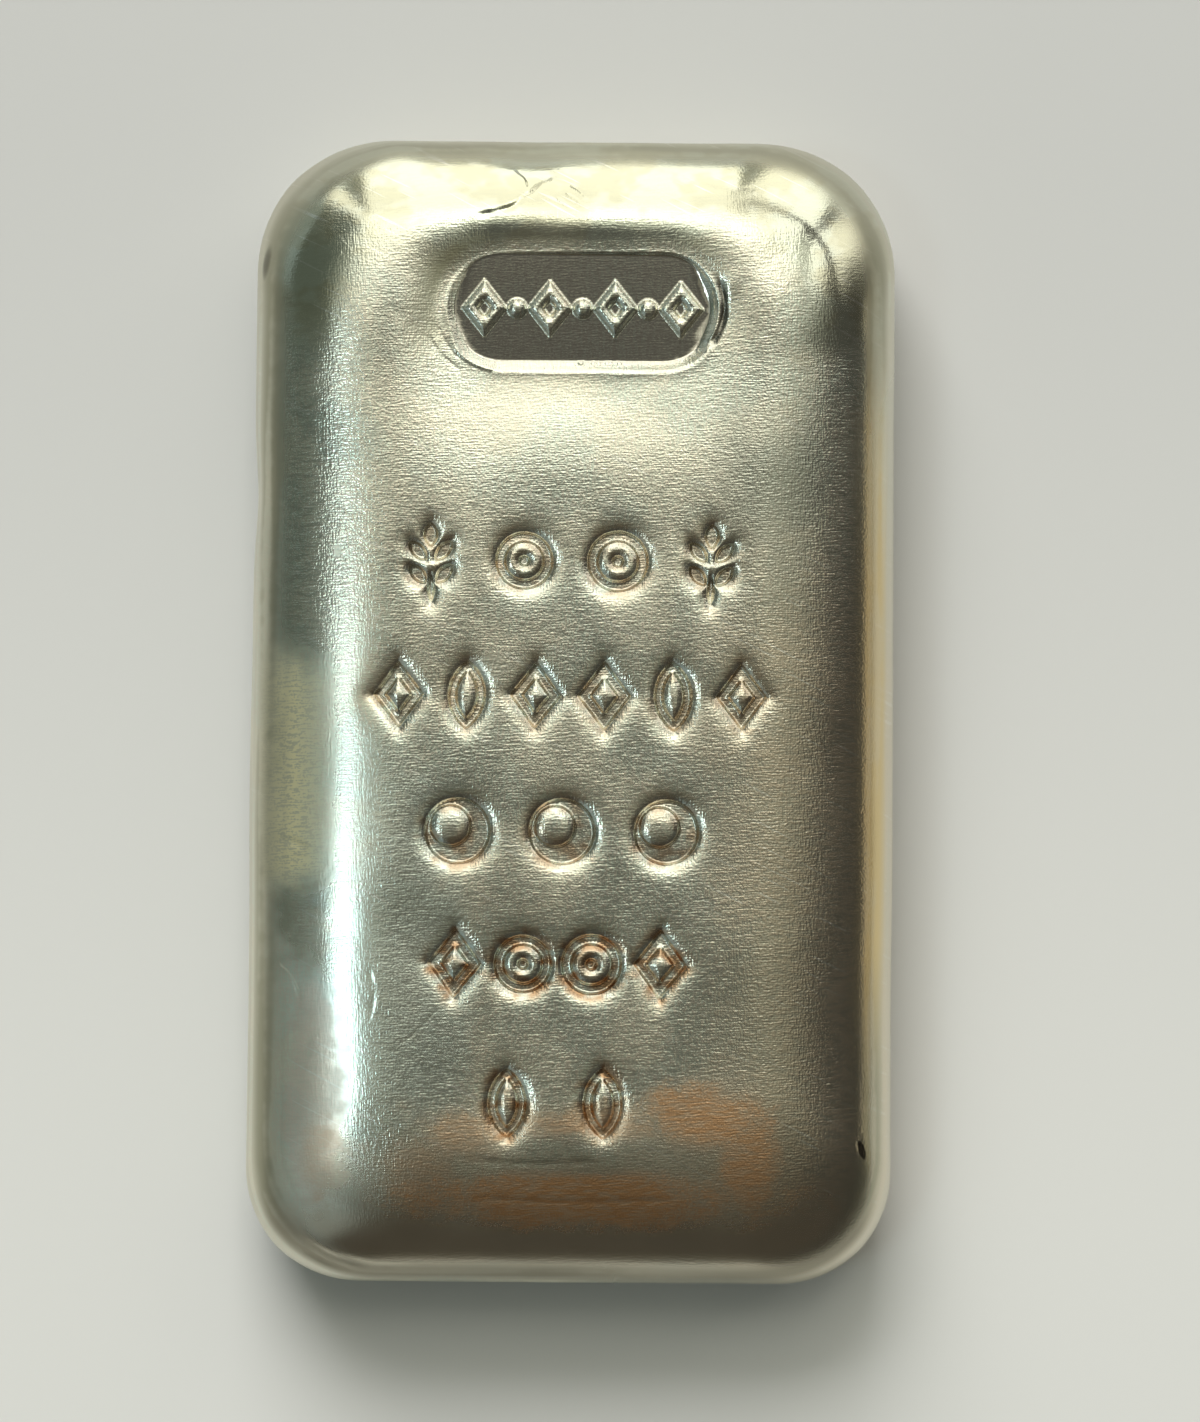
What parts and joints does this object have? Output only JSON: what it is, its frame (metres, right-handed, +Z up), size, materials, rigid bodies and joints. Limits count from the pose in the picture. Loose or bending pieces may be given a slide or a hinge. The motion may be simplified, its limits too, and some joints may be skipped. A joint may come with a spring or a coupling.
{
  "type": "cast silver ingot",
  "caption": "Palm-sized cast metal ingot with a flat base, drafted walls, a pillowed top and a struck oval panel.",
  "frame": {"origin": "middle of the flat base, under the middle of the overall box", "axes": "+Z up out of the struck face, +Y along the length towards the end with the struck panel, +X across the width"},
  "size_m": [0.0282, 0.05, 0.0077],
  "materials": {
    "silver": "tumbled and brushed fine silver, faintly toned"
  },
  "bodies": {
    "root": {"ingot": "silver"}
  },
  "joints": []
}
